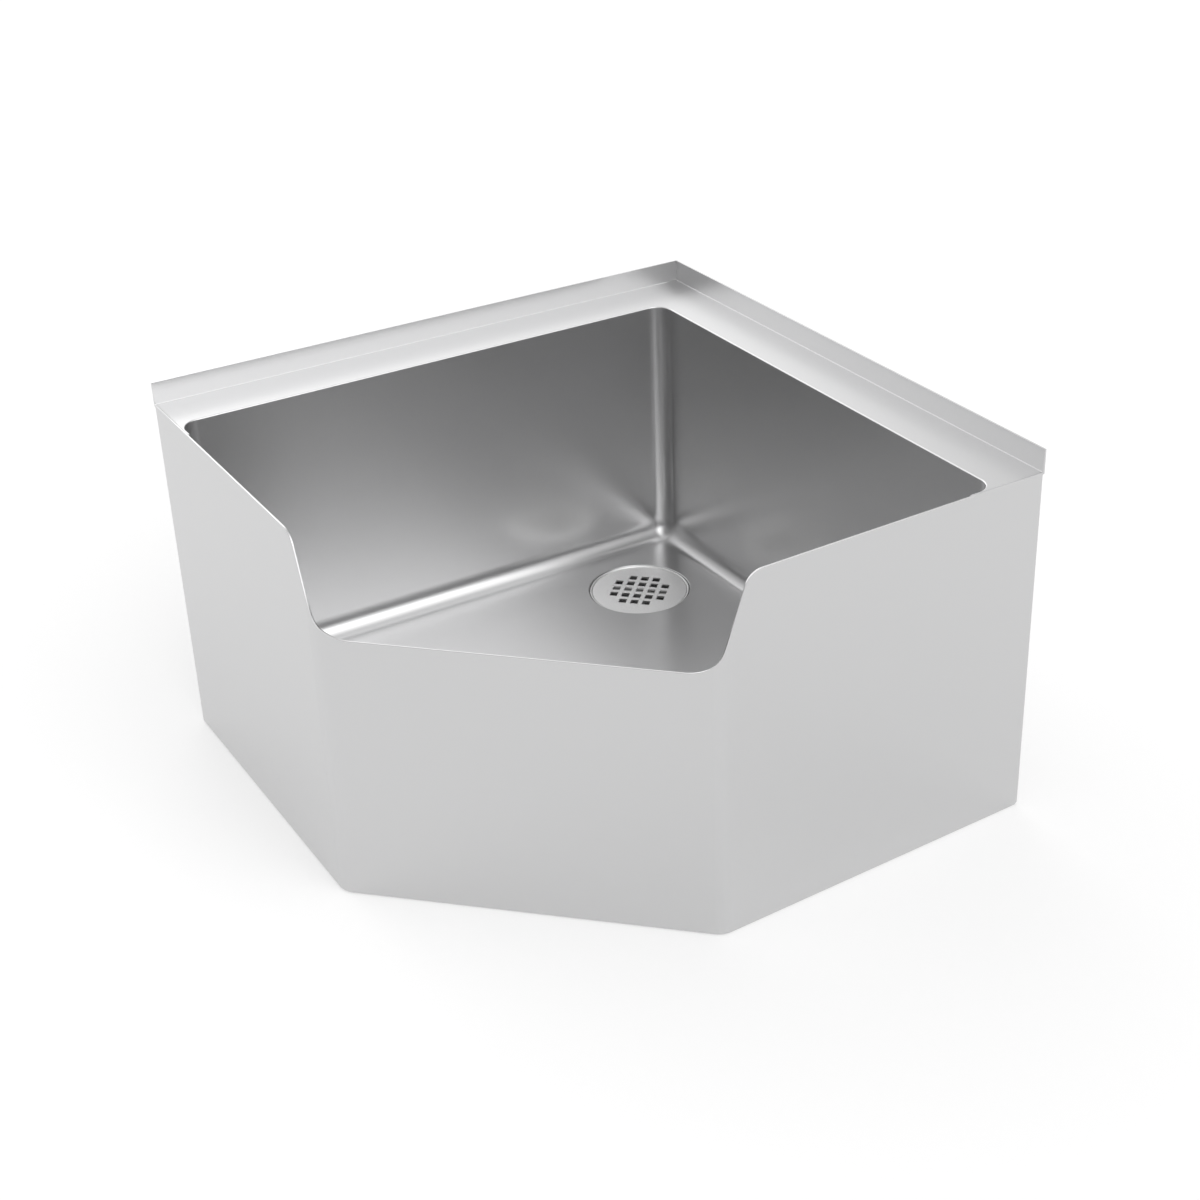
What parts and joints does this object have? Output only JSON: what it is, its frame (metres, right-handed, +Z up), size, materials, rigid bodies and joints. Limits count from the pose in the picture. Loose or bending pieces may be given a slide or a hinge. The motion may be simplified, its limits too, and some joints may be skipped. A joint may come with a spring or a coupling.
{
  "type": "corner mop service sink",
  "caption": "Floor-standing stainless corner mop sink with a dropped diagonal front, flat rim and wall flange, pitched coved bowl, lift-out strainer and lint basket, and levelling feet.",
  "frame": {"origin": "on the floor under the middle of the square that the sink fills", "axes": "+Z up; the left wall is at -X and the back wall at +Y, so the dropped front faces +X and -Y"},
  "size_m": [0.673, 0.673, 0.4318],
  "materials": {
    "satin_steel": "satin",
    "drain_steel": "polished",
    "frame_steel": "mill",
    "zinc_steel": "zinc plated",
    "brass": "cast",
    "fibre": "matte",
    "black_rubber": "matte"
  },
  "bodies": {
    "sink": {"apron": "satin_steel", "left_rim": "satin_steel", "back_rim": "satin_steel", "bowl_wall": "satin_steel", "floor_pan": "satin_steel", "drain_body": "drain_steel", "flange_gasket": "black_rubber", "under_gasket": "black_rubber", "friction_washer": "fibre", "lock_nut": "brass", "pipe_seal": "black_rubber", "front_channel": "frame_steel", "rear_channel": "frame_steel", "sound_pads": "black_rubber", "corner_post": "frame_steel", "left_base_rail": "frame_steel", "back_base_rail": "frame_steel", "left_end_bracket": "frame_steel", "right_end_bracket": "frame_steel", "front_left_bracket": "frame_steel", "front_right_bracket": "frame_steel", "corner_bracket": "frame_steel", "weld_nuts": "zinc_steel", "jam_nuts": "zinc_steel"},
    "basket": {"lint_basket": "drain_steel"},
    "strainer": {"strainer_plate": "drain_steel"},
    "left_end_foot": {"left_end_stud": "zinc_steel", "left_end_pad": "black_rubber"},
    "right_end_foot": {"right_end_stud": "zinc_steel", "right_end_pad": "black_rubber"},
    "front_left_foot": {"front_left_stud": "zinc_steel", "front_left_pad": "black_rubber"},
    "front_right_foot": {"front_right_stud": "zinc_steel", "front_right_pad": "black_rubber"},
    "corner_foot": {"corner_stud": "zinc_steel", "corner_pad": "black_rubber"}
  },
  "joints": [
    {"name": "basket_lift", "type": "slide", "parent": "sink", "child": "basket", "axis": [0, 0, 1], "range_m": [0, 0.4]},
    {"name": "strainer_lift", "type": "slide", "parent": "basket", "child": "strainer", "axis": [0, 0, 1], "range_m": [0, 0.36]},
    {"name": "left_end_foot_screw", "type": "slide", "parent": "sink", "child": "left_end_foot", "axis": [0, 0, -1], "range_m": [0, 0.0127]},
    {"name": "right_end_foot_screw", "type": "slide", "parent": "sink", "child": "right_end_foot", "axis": [0, 0, -1], "range_m": [0, 0.0127]},
    {"name": "front_left_foot_screw", "type": "slide", "parent": "sink", "child": "front_left_foot", "axis": [0, 0, -1], "range_m": [0, 0.0127]},
    {"name": "front_right_foot_screw", "type": "slide", "parent": "sink", "child": "front_right_foot", "axis": [0, 0, -1], "range_m": [0, 0.0127]},
    {"name": "corner_foot_screw", "type": "slide", "parent": "sink", "child": "corner_foot", "axis": [0, 0, -1], "range_m": [0, 0.0127]}
  ]
}
